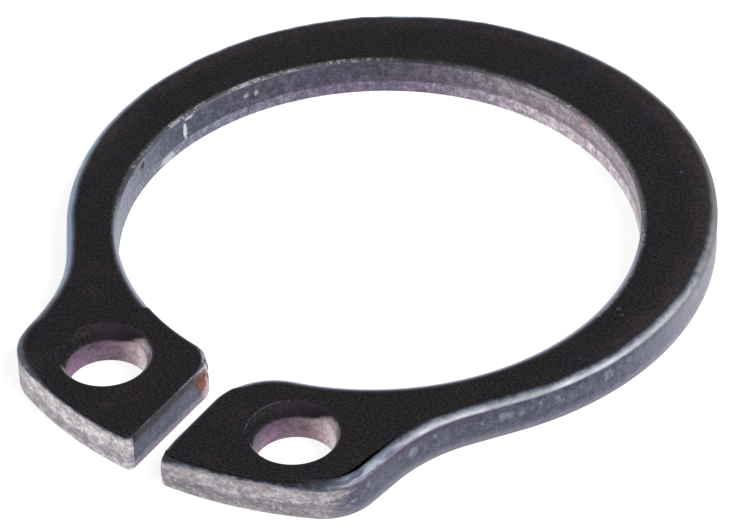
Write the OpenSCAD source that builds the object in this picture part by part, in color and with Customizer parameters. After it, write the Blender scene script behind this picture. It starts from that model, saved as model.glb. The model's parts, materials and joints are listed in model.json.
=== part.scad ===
// External retaining ring for a shaft groove, stamped in one piece from spring steel.
// It lies flat, with its open side towards -Y. The origin is on the ring's axis, on its lower face.

/* [Ring] */
// Diameter of the bore in the free state
bore_d = 12.9; // [12:0.1:14]
// Thickness of the strip that the ring is stamped from
thickness = 1; // [0.7:0.05:1.5]
// Radial width opposite the gap, where the ring is widest
back_w = 2.18; // [1.8:0.02:2.6]
// Radial width that the off-centre rim would narrow to at the gap
front_w = 0.98; // [0.7:0.02:1.2]

/* [Lugs] */
// Radial width of the lugs, from the bore to the arc across their tips
lug_w = 3.54; // [3.2:0.02:4]
// Width of the gap between the lugs in the free state
gap_w = 0.9; // [0.5:0.05:1.4]
// Angle by which the side of a lug leans in towards its tip
lug_taper = 6.5; // [2:0.5:10]
// Angle below the X axis at which the neck leaves the rim
neck_angle = 35.7; // [32:0.1:40]
// Radius of the hollow neck between the rim and a lug
neck_r = 4.2; // [2.5:0.1:5]
// Radius of the rounded shoulder of a lug
shoulder_r = 1.43; // [0.8:0.05:1.8]
// Radius of the corner between the bore and the gap
inner_corner_r = 0.9; // [0.4:0.05:1.2]
// Radius of the upright corner between the gap and the arc across the tips
tip_corner_r = 0.15; // [0.08:0.01:0.3]

/* [Plier holes] */
// Diameter of the holes for the tips of the pliers
hole_d = 1.92; // [1.6:0.02:2.2]
// Metal between a hole and the arc across the tips
tip_margin = 0.79; // [0.6:0.01:0.9]
// Metal between a hole and the gap
gap_margin = 1.27; // [1:0.01:1.5]
// Metal between a hole and the side of its lug, straight across from the hole
side_margin = 1.31; // [1:0.01:1.6]
// Width of the drawn-in mouth round each hole
mouth_w = 0.17; // [0.1:0.01:0.25]
// Depth of the drawn-in mouth of each hole
mouth_h = 0.26; // [0.12:0.01:0.4]

/* [Stamped edges] */
// Width over which the upper outer edge is rolled down by the die
roll_w = 0.16; // [0.08:0.01:0.2]
// Depth of the roll on the upper outer edge
roll_h = 0.11; // [0.06:0.01:0.2]
// Width over which the upper edge of the bore and the gap is broken
break_w = 0.06; // [0.03:0.01:0.08]
// Depth of the broken upper edge of the bore and the gap
break_h = 0.04; // [0.02:0.01:0.06]

/* [Hidden] */
$fa = 2;
$fs = 0.05;

// How far a cutter runs past the face that it cuts
past = 0.5;
// Overlap that makes two tangent curves cross instead of only touching
seam = 0.002;
// How far an edge cutter runs on past the end of its line or arc
run_on = 0.4;
// Radius of an edge's curve, as a multiple of the one at which it would be tangent to a face
curve_ease = 1.3;

bore_r = bore_d / 2;
// The rim's centre lies behind the ring's axis, so that the ring narrows towards its gap
rim_r = bore_r + (back_w + front_w) / 2;
rim_c = [0, (back_w - front_w) / 2];
tip_r = bore_r + lug_w;
gap_x = gap_w / 2;
hole_r = hole_d / 2;
hole_x = gap_x + gap_margin + hole_r;
hole_c = [hole_x, -sqrt(pow(tip_r - tip_margin - hole_r, 2) - hole_x * hole_x)];

function ray(angle) = [cos(angle), sin(angle)];
function angle_of(v) = atan2(v.y, v.x);
function right_of(v) = [v.y, -v.x];
function unit(v) = v / norm(v);
function cross2(a, b) = a.x * b.y - a.y * b.x;
// Where the line through p along d comes to distance r from the axis, beyond p
function meet(p, d, r) = p + d * (sqrt(pow(p * d, 2) - p * p + r * r) - p * d);

// The lines and arcs that follow belong to the right-hand lug, seen from above

// Straight start of the neck, tangent to the rim
rim_end = rim_c + rim_r * ray(-neck_angle);
neck_dir = right_of(ray(-neck_angle));

// Side of the lug, running towards its tip
side_p = [hole_x + hole_r + side_margin, hole_c.y];
side_dir = -[sin(lug_taper), cos(lug_taper)];
side_out = -right_of(side_dir);

// Hollow arc, tangent to the start of the neck and to the side
neck_corner = rim_end + neck_dir * cross2(side_p - rim_end, side_dir) / cross2(neck_dir, side_dir);
neck_run = neck_r * tan((neck_angle - lug_taper) / 2);
neck_start = neck_corner - neck_dir * neck_run;
neck_end = neck_corner + side_dir * neck_run;
neck_c = neck_end + side_out * neck_r;

// Shoulder, tangent to the side and to the arc across the tip
shoulder_c = meet(side_p - side_out * shoulder_r, side_dir, tip_r - shoulder_r);
shoulder_start = shoulder_c + side_out * shoulder_r;
shoulder_end = unit(shoulder_c) * tip_r;

// Arc at the corner of the bore and the gap, tangent to both
corner_c = meet([gap_x + inner_corner_r, 0], [0, -1], bore_r + inner_corner_r);

// Arc at the corner of the gap and the tip, tangent to both
tip_corner_c = meet([gap_x + tip_corner_r, 0], [0, -1], tip_r - tip_corner_r);

// Half of the angle that the arc across the tips takes up, and of the bore's missing stretch
tip_half = 90 + angle_of(shoulder_c);
bore_half = 90 + angle_of(corner_c);

// Points of the right-hand side, followed by those of the left-hand side back to the start
function with_mirrored(points) =
    concat(points, [for (i = [len(points) - 1:-1:0]) [-points[i].x, points[i].y]]);

module both_sides() {
    children();
    mirror([1, 0, 0]) children();
}

module disc(c, r) {
    translate(c) circle(r);
}

// A disc on each side
module discs(c, r) {
    disc(c, r);
    disc([-c.x, c.y], r);
}

// The blank before its bore, gap and holes are cut
module blank_plan() {
    difference() {
        union() {
            disc(rim_c, rim_r + seam);
            polygon(with_mirrored([shoulder_c, shoulder_start, neck_end, neck_start, rim_end]));
            discs(shoulder_c, shoulder_r + seam);
            intersection() {
                circle(tip_r);
                translate([-shoulder_end.x, -tip_r - past]) square([2 * shoulder_end.x, tip_r]);
            }
        }
        discs(neck_c, neck_r + seam);
    }
}

// The bore and the gap, with the rounded corners at both ends of the gap
module opening_plan() {
    circle(bore_r);
    translate([-gap_x, -tip_r - past]) square([gap_w, tip_r]);
    difference() {
        polygon([corner_c, [0, 0], [-corner_c.x, corner_c.y]]);
        discs(corner_c, inner_corner_r + seam);
    }
    difference() {
        polygon(with_mirrored([unit(tip_corner_c) * (tip_r + past), tip_corner_c]));
        discs(tip_corner_c, tip_corner_r + seam);
    }
}

// Radius and centre of the curve that falls by h over the last w before a wall, from the wall's top
function curve_r(w, h) = curve_ease * (w * w + h * h) / (2 * min(w, h));
function curve_c(w, h) = -[w, h] / 2 - [h, w] * sqrt(pow(curve_r(w, h), 2) / (w * w + h * h) - 1 / 4);

// Section of what is cut from a wall's upper edge, with the metal on the left of the Y axis.
// The size is the width and the depth of the cut.
module edge_section(size) {
    c = curve_c(size[0], size[1]);
    difference() {
        translate(c) square([past, past] - c);
        disc(c, curve_r(size[0], size[1]));
    }
}

// Cuts the upper edge along an arc that has the metal inside it
module cut_arc(c, r, from, to, size) {
    translate([c.x, c.y, thickness]) rotate_extrude(start = from, angle = to - from)
        translate([r, 0]) edge_section(size);
}

// Cuts the upper edge along an arc that has the metal outside it
module cut_hollow_arc(c, r, from, to, size) {
    translate([c.x, c.y, thickness]) rotate_extrude(start = from, angle = to - from)
        translate([r, 0]) mirror([1, 0]) edge_section(size);
}

// Cuts the upper edge along the line from p to q, which has the metal on its right
module cut_line(p, q, size) {
    translate([p.x, p.y, thickness]) rotate([90, 0, angle_of(q - p) + 90])
        linear_extrude(norm(q - p)) edge_section(size);
}

// Angle that the run-on takes up on an arc
function run_angle(r) = run_on / r * 180 / PI;

// Where a line and a tighter arc meet, the line's cutter runs on and the arc's stops.
// Where a line meets the hollow neck, the neck's cutter runs on and the line's stops.

// Rolled edge round the rim, the necks, the lugs and their tips
module outer_roll() {
    size = [roll_w, roll_h];
    tip_span = tip_half + run_angle(tip_r);
    cut_arc(rim_c, rim_r + seam, -neck_angle, 180 + neck_angle, size);
    cut_arc([0, 0], tip_r, -90 - tip_span, -90 + tip_span, size);
    both_sides() {
        cut_line(rim_end - neck_dir * run_on, neck_start, size);
        cut_hollow_arc(
            neck_c, neck_r + seam, angle_of(neck_start - neck_c) - run_angle(neck_r),
            angle_of(neck_end - neck_c) + run_angle(neck_r), size
        );
        cut_line(neck_end, shoulder_start + side_dir * run_on, size);
        cut_arc(shoulder_c, shoulder_r + seam, angle_of(shoulder_c), angle_of(side_out), size);
    }
}

// Broken edge round the bore, its corners and the gap
module inner_break() {
    size = [break_w, break_h];
    bore_start = -90 + bore_half - run_angle(bore_r);
    cut_hollow_arc([0, 0], bore_r, bore_start, 180 - bore_start, size);
    both_sides() {
        cut_arc(corner_c, inner_corner_r + seam, 90 + bore_half, 180, size);
        cut_line([gap_x, -tip_r - past], [gap_x, corner_c.y + run_on], size);
    }
}

// Hole for a plier tip, with its drawn-in mouth
module plier_hole() {
    translate([hole_c.x, hole_c.y, -past]) cylinder(r = hole_r, h = thickness + 2 * past);
    translate([hole_c.x, hole_c.y, thickness]) rotate_extrude()
        translate([hole_r, 0]) mirror([1, 0]) edge_section([mouth_w, mouth_h]);
}

module retaining_ring() {
    color("#2c2b31") difference() {
        linear_extrude(thickness) difference() {
            blank_plan();
            opening_plan();
        }
        outer_roll();
        inner_break();
        both_sides() plier_hole();
    }
}

retaining_ring();
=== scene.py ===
import json
from math import acos, atan2, ceil, cos, exp, hypot, pi, radians, sin, sqrt, tan

import bmesh
import bpy
from bpy.props import FloatProperty, FloatVectorProperty, IntProperty, PointerProperty
from mathutils import Matrix, Vector, noise
from mathutils.kdtree import KDTree


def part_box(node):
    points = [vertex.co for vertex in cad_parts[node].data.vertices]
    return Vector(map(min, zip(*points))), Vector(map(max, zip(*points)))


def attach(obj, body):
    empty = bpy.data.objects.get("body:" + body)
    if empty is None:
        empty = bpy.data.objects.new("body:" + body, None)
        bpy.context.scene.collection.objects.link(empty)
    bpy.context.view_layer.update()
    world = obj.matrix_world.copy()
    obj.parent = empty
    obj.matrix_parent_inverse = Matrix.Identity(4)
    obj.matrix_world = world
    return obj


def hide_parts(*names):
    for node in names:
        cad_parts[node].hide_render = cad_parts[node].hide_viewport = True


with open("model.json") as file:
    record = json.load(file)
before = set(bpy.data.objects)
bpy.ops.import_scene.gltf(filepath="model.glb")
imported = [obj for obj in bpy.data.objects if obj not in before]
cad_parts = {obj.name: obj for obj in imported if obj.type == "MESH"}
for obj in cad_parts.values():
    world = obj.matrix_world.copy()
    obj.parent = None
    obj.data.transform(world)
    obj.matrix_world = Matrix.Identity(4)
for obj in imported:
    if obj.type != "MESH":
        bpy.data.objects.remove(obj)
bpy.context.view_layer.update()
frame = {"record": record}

bl_info = {
    "name": "Shaft Retaining Ring",
    "version": (1, 0, 0),
    "blender": (4, 5, 0),
    "location": "View3D > Sidebar > Retaining Ring",
    "description": "A stamped external retaining ring on a plain studio floor",
    "category": "Add Mesh",
}

NODE = "retaining_ring"
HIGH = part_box(NODE)[1]
MM = 0.001

# Two points closer than this are taken as one
TOUCH = 0.001 * MM

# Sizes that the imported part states
MOUNTS = {mount["name"]: mount for mount in frame["record"]["mounts"]}
HOLE = MOUNTS["right_plier_hole"]
BORE_R = MOUNTS["shaft_seat"]["dims"]["r_mm"] * MM
HOLE_R = HOLE["dims"]["r_mm"] * MM
HOLE_C = Vector((HOLE["pos_m"][0], HOLE["pos_m"][1], 0))
THICKNESS = HIGH.z
MOUTH_DEPTH = THICKNESS - HOLE["dims"]["length_mm"] * MM

# The rim is a circle whose centre lies behind the bore's
RIM_R = HIGH.x
RIM_C = Vector((0, HIGH.y - RIM_R, 0))

UP = Vector((0, 0, 1))

# Direction in which the walls turn paler, partly in the steel's own tone and partly as painted light, and the one
# square to it, where the edges are worn most
PALE_SIDE = Vector((0.83, 0.56, 0))
WORN_SIDE = Vector((0.56, -0.83, 0))

# How far a corner of the bore reaches above and beside the centre of its arc
CORNER_ABOVE = 0.6 * MM
CORNER_BESIDE = 0.35 * MM

# The gap's wall ends this far above the centre of that arc, and the bore's wall starts
GAP_WALL_ABOVE = 0.5 * MM

# The left lug's inner corner lies below this line
LEFT_CORNER_Y = -0.9 * BORE_R

# Slow and quick noise that make the roll vary, and the least share of it that is left beside the gap
SLOW_DRIFT = 0.9
QUICK_DRIFT = 3.1
LEAST_ROLL = 0.4

# How far the heavier roll reaches from the start of the right lug's shoulder
HEAVY_REACH = 1 * MM

# The left lug's inner corner: where its swelling falls off, how ragged it is, and where its notch and the
# burr above the notch lie. Levels are shares of the thickness, and places along it are shares of the corner.
SWELL_TOP = 0.78
SWELL_FALL = 2.5
RAGGED_HEIGHT = 0.012 * MM
RAGGED_SCALE = 6
NOTCH_ALONG = 0.38
NOTCH_SPAN = 0.16
NOTCH_LEVEL = 0.54
NOTCH_RISE = 0.1
BURR_SPAN = 0.2
BURR_LEVEL = 0.76
BURR_SHARE = 0.4

# The right lug's tip beside the gap: how far its flare reaches, the share of the thickness over which it grows
# downwards and the share that is left at the foot, and the same for the worn part above, with its direction
FLARE_REACH = 0.3 * MM
FLARE_RISE = 0.7
FLARE_FOOT = 0.7
WEAR_REACH = 0.25 * MM
WEAR_SPAN = 0.3
WEAR_WAY = Vector((0.8, 0.6, 0))

# Faces of the curve on the upper edges and on the lower ones
EDGE_SEGMENTS = 8
UNDER_SEGMENTS = 2

# A face is flat from this upright share of its normal. The roll lies above a share of the thickness, and leans
# up by more than a wall does. An edge that turns by more than the angle is sharp.
FLAT = 0.9999
ROLL_LEVEL = 0.78
ROLL_LEAN = 0.02
SHARP_ANGLE = radians(35)

# Scale of the steel's grain, and gloss of the coat
GRAIN_SCALE = 14.0
COAT_GLOSS = 0.14

# The floor lies this far below the ring, so that the two surfaces don't share a plane
FLOOR_DROP = 0.005 * MM
FLOOR_REACH = 2
FLOOR_GREY = 0.5
FLOOR_GLOW = 0.78

# Point that the camera looks at, and the range that it sees
TARGET = Vector((0.113, -0.787, 0)) * MM
SENSOR_WIDTH = 36
NEAREST, FARTHEST = 0.005, 10


def display(red, green, blue):
    """A colour given as it shows on a screen, from 0 to 255, in Blender's linear light."""
    shares = [value / 255 for value in (red, green, blue)]
    return tuple(s / 12.92 if s <= 0.04045 else ((s + 0.055) / 1.055) ** 2.4 for s in shares)


def size_property(name, description, millimetres):
    return FloatProperty(name=name, description=description, default=millimetres * MM, min=0,
                         precision=6, unit="LENGTH")


def angle_property(name, description, angle):
    return FloatProperty(name=name, description=description, default=radians(angle), subtype="ANGLE")


def colour_property(name, description, red, green, blue):
    return FloatVectorProperty(name=name, description=description, default=display(red, green, blue),
                               min=0, max=1, subtype="COLOR")


class RingSizes(bpy.types.PropertyGroup):
    """Sizes of the ring that its mounts and its box don't give."""
    lug_width: size_property("Lug Width", "From the bore to the arc across the tips", 3.54)
    gap: size_property("Gap", "Width of the gap between the lugs", 0.9)
    side_margin: size_property("Side Margin", "Metal between a hole and the side of its lug", 1.31)
    lug_taper: angle_property("Lug Taper", "How far the side of a lug leans in towards its tip", 6.5)
    neck_angle: angle_property("Neck Angle", "Where the neck leaves the rim, below the X axis", 35.7)
    neck_radius: size_property("Neck Radius", "Hollow arc between the rim and a lug", 4.2)
    shoulder_radius: size_property("Shoulder Radius", "Rounded outer corner of a lug", 1.43)
    corner_radius: size_property("Corner Radius", "Corner between the bore and the gap", 0.9)
    mouth_width: size_property("Right Mouth", "Width of the drawn-in mouth of the right plier hole", 0.16)
    left_mouth_width: size_property("Left Mouth", "Width of the drawn-in mouth of the left plier hole", 0.21)
    roll_width: size_property("Roll Width", "Width of the edge that the die rolled down", 0.25)
    roll_depth: size_property("Roll Depth", "Depth of the edge that the die rolled down", 0.13)
    break_width: size_property("Bore Break", "Width of the broken edge of the bore", 0.16)
    break_depth: size_property("Break Depth", "Depth of the broken edge of the bore", 0.06)
    near_break_width: size_property("Near Break", "Width of the bore's broken edge on the near side", 0.21)
    gap_break_width: size_property("Gap Break", "Width of the broken edge of the gap", 0.05)
    near_gap_width: size_property("Near Gap Break", "Width of the broken edge of the gap on the right lug", 0.1)
    edge_ease: FloatProperty(name="Edge Ease", description="How far the rounded edges flatten towards a chamfer",
                             default=0.35, min=0, max=1)
    tip_share: FloatProperty(name="Tip Share", description="Share of the roll that is left across the tips",
                             default=0.35, min=0, max=1)
    roll_fade: size_property("Roll Fade", "Stretch over which the roll grows round the shoulder of a lug", 1.2)
    heavy_roll: size_property("Heavy Roll", "Extra width of the roll on the right lug's shoulder", 0.14)
    tip_round: size_property("Tip Rounding", "Rounding of the upright corners beside the gap", 0.15)
    under_width: size_property("Lower Edge", "Width of the broken edges of the lower face", 0.025)
    edge_drift: FloatProperty(name="Edge Drift", description="How much the roll varies along the ring",
                              default=0.18, min=0, max=0.5)
    corner_swell: size_property("Corner Swell", "How far the left lug's inner corner stands out", 0.1)
    left_corner_width: size_property("Left Corner", "Width of the broken edge at the left lug's inner corner", 0.09)
    worn_corner_radius: size_property("Worn Corner", "Right lug's inner corner, which is worn back", 1.6)
    tip_flare: size_property("Tip Flare", "How far the right lug's lower corner stands out beside the gap", 0.13)
    tip_wear: size_property("Tip Wear", "How far the right lug's upper corner is worn back beside the gap", 0.05)
    corner_notch: size_property("Corner Notch", "Depth of the notch in the left lug's inner corner", 0.05)
    margin: size_property("Margin", "Band of even faces along the edges, which holds the rounded ones", 0.28)
    step: size_property("Step", "Longest edge along a curve of the mesh", 0.09)
    wall_rows: IntProperty(name="Wall Rows", description="Rows of faces up the walls", default=16, min=1)


class RingFinish(bpy.types.PropertyGroup):
    """Colours of the dark coat and of the sheared walls."""
    coat: colour_property("Coat", "Dark phosphate coat of the faces", 24, 23, 27)
    wall_blue: colour_property("Slate Wall", "Sheared walls of the rim and the gap", 92, 96, 114)
    wall_plum: colour_property("Plum Wall", "Warmer stretches of the sheared walls", 112, 98, 120)
    # Its paleness is partly the bare steel's own tone and partly painted light, on the lug ends and on the walls that
    # turn paler towards one side
    wall_pale: colour_property("Pale Wall", "Ends of the lugs, where the shear left bare steel", 180, 174, 180)
    # Also the colour of the painted highlight along the near stretch of the rolled edge
    worn: colour_property("Worn Edge", "Bare steel along the worn edges", 205, 206, 214)
    rust: colour_property("Rust", "Rust in the corner of the left lug", 152, 98, 72)


class StageLook(bpy.types.PropertyGroup):
    """Camera and lights."""
    azimuth: angle_property("Azimuth", "Camera's turn about the ring, from the front", 33.968)
    elevation: angle_property("Elevation", "Camera's height above the floor", 39.139)
    roll: angle_property("Roll", "Camera's tilt about its own axis", -1.774)
    distance: size_property("Distance", "From the camera to the point that it looks at", 102.484)
    lens: FloatProperty(name="Lens", description="Focal length in millimetres on a 36 mm sensor", default=204.76)
    world_strength: FloatProperty(name="World Strength", description="Brightness of the soft surroundings",
                                  default=0.42, min=0)
    key_power: FloatProperty(name="Key Power", description="Power of the large lamp", default=0.36, min=0)


def clamp(value, low=0, high=1):
    return min(high, max(low, value))


def hump(*offsets):
    """One where every offset is nought, and fading smoothly to nought as they grow past one."""
    return exp(-sum(offset ** 2 for offset in offsets))


def direction(angle):
    return Vector((cos(angle), sin(angle), 0))


def turned_right(vector):
    return Vector((vector.y, -vector.x, 0))


def reach(point, along, radius):
    """The point beyond a given one, along a unit vector, that lies at a distance from the ring's axis."""
    middle = point.dot(along)
    return point + along * (sqrt(middle * middle - point.length_squared + radius * radius) - middle)


def turn_between(centre, start, end):
    """Signed angle from start to end about a centre, the short way round."""
    a, b = start - centre, end - centre
    return atan2(a.x * b.y - a.y * b.x, a.dot(b))


class Outline:
    """Corner points and arc centres of the right-hand half of the ring, seen from above."""

    def __init__(self, sizes):
        self.gap_x = sizes.gap / 2
        self.tip_r = BORE_R + sizes.lug_width
        self.back = Vector((0, HIGH.y, 0))
        self.rim_end = RIM_C + RIM_R * direction(-sizes.neck_angle)
        neck_dir = turned_right(direction(-sizes.neck_angle))
        side_dir = Vector((-sin(sizes.lug_taper), -cos(sizes.lug_taper), 0))
        side_out = -turned_right(side_dir)
        side = Vector((HOLE_C.x + HOLE_R + sizes.side_margin, HOLE_C.y, 0))
        along = (side - self.rim_end).cross(side_dir).z / neck_dir.cross(side_dir).z
        neck_corner = self.rim_end + neck_dir * along
        neck_run = sizes.neck_radius * tan((sizes.neck_angle - sizes.lug_taper) / 2)
        self.neck_start = neck_corner - neck_dir * neck_run
        self.neck_end = neck_corner + side_dir * neck_run
        self.neck_c = self.neck_end + side_out * sizes.neck_radius
        self.shoulder_c = reach(side - side_out * sizes.shoulder_radius, side_dir,
                                self.tip_r - sizes.shoulder_radius)
        self.shoulder_start = self.shoulder_c + side_out * sizes.shoulder_radius
        self.shoulder_end = self.shoulder_c.normalized() * self.tip_r
        inset = self.gap_x + sizes.tip_round
        self.tip_c = Vector((inset, -sqrt((self.tip_r - sizes.tip_round) ** 2 - inset ** 2), 0))
        self.tip_end = self.tip_c.normalized() * self.tip_r
        self.gap_start = Vector((self.gap_x, self.tip_c.y, 0))
        self.corner_c = reach(Vector((self.gap_x + sizes.corner_radius, 0, 0)), Vector((0, -1, 0)),
                              BORE_R + sizes.corner_radius)
        self.corner_start = Vector((self.gap_x, self.corner_c.y, 0))
        self.corner_end = self.corner_c.normalized() * BORE_R
        self.bore_back = Vector((0, BORE_R, 0))


def add_line(bm, start, end, step):
    """Extrudes a vertex along a straight line and gives the vertex at its end."""
    rows = max(1, ceil((end - start.co).length / step))
    stride = (end - start.co) / rows
    for _ in range(rows):
        start = bmesh.ops.extrude_vert_indiv(bm, verts=[start])["verts"][0]
        start.co += stride
    return start


def add_arc(bm, start, centre, end, step, angle=None):
    """Spins a vertex about a centre to an end point and gives the vertex there."""
    if angle is None:
        angle = turn_between(centre, start.co, end)
    steps = max(2, ceil(abs(angle) * (start.co - centre).length / step))
    spun = bmesh.ops.spin(bm, geom=[start], cent=centre, axis=UP, dvec=(0, 0, 0), angle=angle, steps=steps)
    return spun["geom_last"][0]


def draw_outline(bm, sizes):
    """Draws the right-hand half of the outline, mirrors it, and adds the rims of the plier holes."""
    plan = Outline(sizes)
    vert = bm.verts.new(plan.back)
    rim_turn = -(pi / 2 + sizes.neck_angle)
    vert = add_arc(bm, vert, RIM_C, plan.rim_end, sizes.step, rim_turn)
    vert = add_line(bm, vert, plan.neck_start, sizes.step)
    vert = add_arc(bm, vert, plan.neck_c, plan.neck_end, sizes.step)
    vert = add_line(bm, vert, plan.shoulder_start, sizes.step)
    vert = add_arc(bm, vert, plan.shoulder_c, plan.shoulder_end, sizes.step)
    vert = add_arc(bm, vert, Vector(), plan.tip_end, sizes.step)
    vert = add_arc(bm, vert, plan.tip_c, plan.gap_start, sizes.tip_round / 4)
    vert = add_line(bm, vert, plan.corner_start, sizes.step)
    vert = add_arc(bm, vert, plan.corner_c, plan.corner_end, sizes.step / 2)
    bore_turn = pi - acos(-plan.corner_end.y / BORE_R)
    add_arc(bm, vert, Vector(), plan.bore_back, sizes.step, bore_turn)
    bmesh.ops.mirror(bm, geom=bm.verts[:] + bm.edges[:], axis="X", merge_dist=TOUCH)
    segments = ceil(2 * pi * HOLE_R / sizes.step)
    for side in (1, -1):
        place = Matrix.Translation((side * HOLE_C.x, HOLE_C.y, 0))
        bmesh.ops.create_circle(bm, radius=HOLE_R, segments=segments, matrix=place)
    bmesh.ops.remove_doubles(bm, verts=bm.verts[:], dist=TOUCH)
    wear_corner(bm, plan, sizes)
    return plan


def wear_corner(bm, plan, sizes):
    """Moves the outline of the right lug's inner corner back to a wider arc."""
    radius = sizes.worn_corner_radius
    centre = reach(Vector((plan.gap_x + radius, 0, 0)), Vector((0, -1, 0)), BORE_R + radius)
    for vert in bm.verts:
        away = vert.co - centre
        beside = away.y > 0 and away.cross(centre).z > 0
        if beside and radius < away.length < radius + sizes.margin:
            vert.co = centre + away.normalized() * radius


def near_hole(point, margin):
    """Whether a point is within a margin of the wall of a plier hole."""
    return hypot(abs(point.x) - HOLE_C.x, point.y - HOLE_C.y) < HOLE_R + margin


def on_inner_side(point, plan, margin):
    """Whether a point is within a margin of the bore, its rounded corners or the gap."""
    if point.length < BORE_R + margin:
        return True
    if point.y > plan.corner_c.y - CORNER_ABOVE:
        return point.y < 0 and abs(point.x) < plan.corner_c.x + CORNER_BESIDE
    return abs(point.x) < plan.gap_x + margin


def rim_edges(bm, level, wanted):
    """The edges where a wall meets the face at a level, at whose middle the given test holds."""
    found = []
    for edge in bm.edges:
        middle = (edge.verts[0].co + edge.verts[1].co) / 2
        if abs(middle.z - level) > TOUCH or len(edge.link_faces) != 2:
            continue
        flat = [abs(face.normal.z) > 0.5 for face in edge.link_faces]
        if flat[0] != flat[1] and wanted(middle):
            found.append(edge)
    return found


def round_edges(bm, edges, width, segments):
    """Bevels edges of a flat face and gives the vertices of the curve."""
    made = bmesh.ops.bevel(bm, geom=edges, offset=width, offset_type="OFFSET", segments=segments,
                           profile=0.5, affect="EDGES", clamp_overlap=False, material=-1, loop_slide=True)
    bm.normal_update()
    return made["verts"]


def ease_curve(inward, down, width, ease):
    """Flattens a point of a quarter circle of the given radius towards the chord, by a share."""
    along = max(0, atan2(width - inward, width - down)) / (pi / 2)
    return inward + (width * (1 - along) - inward) * ease, down + (width * along - down) * ease


def shape_mouths(verts, sizes):
    """Gives the mouths of the plier holes their width and depth, where the bevel made them even."""
    for vert in verts:
        centre = Vector((HOLE_C.x if vert.co.x > 0 else -HOLE_C.x, HOLE_C.y, 0))
        width = sizes.mouth_width if vert.co.x > 0 else sizes.left_mouth_width
        out = Vector((vert.co.x, vert.co.y, 0)) - centre
        inward, down = ease_curve(out.length - HOLE_R, THICKNESS - vert.co.z, sizes.mouth_width, sizes.edge_ease)
        place = centre + out.normalized() * (HOLE_R + inward * width / sizes.mouth_width)
        place.z = THICKNESS - down * MOUTH_DEPTH / sizes.mouth_width
        vert.co = place


def edge_size(foot, plan, sizes):
    """Width and depth of the upper edge at a point of the outline."""
    if on_inner_side(foot, plan, TOUCH):
        worn = clamp(foot.normalized().dot(WORN_SIDE) * 2)
        width = sizes.break_width + (sizes.near_break_width - sizes.break_width) * worn
        if foot.x < 0 and foot.y < LEFT_CORNER_Y:
            width = sizes.left_corner_width
        share = clamp((foot.y - plan.corner_c.y) / sizes.margin)
        gap_width = sizes.near_gap_width if foot.x > 0 else sizes.gap_break_width
        width = gap_width + (width - gap_width) * share
        return width, sizes.break_depth * min(1, width / sizes.break_width)
    share = 1.0
    if foot.y < plan.corner_c.y:
        round_shoulder = abs(foot.x) - plan.shoulder_end.x + sizes.roll_fade
        share = sizes.tip_share + (1 - sizes.tip_share) * clamp(round_shoulder / sizes.roll_fade)
        share *= clamp((abs(foot.x) - plan.gap_x) / sizes.margin, LEAST_ROLL)
    drift = noise.noise(foot / MM * SLOW_DRIFT) + noise.noise(foot / MM * QUICK_DRIFT) / 2
    drift = 1 + sizes.edge_drift * drift
    heavy = sizes.heavy_roll * exp(-(foot - plan.shoulder_start).length_squared / HEAVY_REACH ** 2)
    return sizes.roll_width * share * drift + heavy, sizes.roll_depth * share * drift + heavy / 3


def shape_edges(verts, plan, sizes, outline):
    """Gives the rounded edge of the outline the width and depth that it has at each place."""
    even = sizes.break_width
    for vert in verts:
        flat = Vector((vert.co.x, vert.co.y, 0))
        foot = outline.find(flat)[0]
        width, depth = edge_size(foot, plan, sizes)
        away = flat - foot
        inward, down = ease_curve(away.length, THICKNESS - vert.co.z, even, sizes.edge_ease)
        place = foot + away.normalized() * inward * width / even
        place.z = THICKNESS - down * depth / even
        vert.co = place


def shape_corners(bm, plan, sizes):
    """Makes the left lug's inner corner stand out, with a notch across its middle and a burr above the notch."""
    turn = atan2(-plan.corner_c.y, plan.corner_c.x)
    for vert in bm.verts:
        out = Vector((vert.co.x + plan.corner_c.x, vert.co.y - plan.corner_c.y, 0))
        depth = sizes.corner_radius - out.length
        along = atan2(out.y, out.x) / turn
        if not -TOUCH < depth < sizes.margin or not 0 < along < 1:
            continue
        level = vert.co.z / THICKNESS
        hold = (1 - max(0, depth) / sizes.margin) ** 2
        swell = sizes.corner_swell * sin(pi * along) ** 1.5 * (1 - max(0, level - SWELL_TOP) * SWELL_FALL)
        ragged = RAGGED_HEIGHT * noise.noise(vert.co / MM * RAGGED_SCALE) * sin(pi * along)
        beside = along - NOTCH_ALONG
        notch = sizes.corner_notch * hump(beside / NOTCH_SPAN, (level - NOTCH_LEVEL) / NOTCH_RISE)
        burr = BURR_SHARE * sizes.corner_notch * hump(beside / BURR_SPAN, (level - BURR_LEVEL) / NOTCH_RISE)
        vert.co += out.normalized() * (swell + ragged - notch + burr) * hold


def flare_tip(bm, plan, sizes):
    """Makes the right lug's corner beside the gap stand out below and lie back above."""
    corner = Vector((plan.gap_x, plan.gap_start.y, 0))
    for vert in bm.verts:
        far = (Vector((vert.co.x, vert.co.y, 0)) - corner).length
        level = clamp(vert.co.z / THICKNESS)
        flare = sin(pi / 2 * min(1, (1 - level) / FLARE_RISE)) * min(1, FLARE_FOOT + level)
        vert.co.x -= sizes.tip_flare * hump(far / FLARE_REACH) * flare
        worn = sizes.tip_wear * hump(far / WEAR_REACH) * max(0, level - (1 - WEAR_SPAN)) / WEAR_SPAN
        vert.co += WEAR_WAY * worn


def unfold_margin(bm, verts, plan, margin):
    """Gathers the inner end of the margin at a tip's corner, which is rounded more tightly than it is wide."""
    x = plan.gap_x + margin
    y = -sqrt((plan.tip_r - margin) ** 2 - x * x)
    for vert in verts:
        if abs(vert.co.x) < x + TOUCH and vert.co.y < y + TOUCH:
            vert.co.x = x if vert.co.x > 0 else -x
            vert.co.y = y
    bmesh.ops.remove_doubles(bm, verts=verts, dist=TOUCH)


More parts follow.
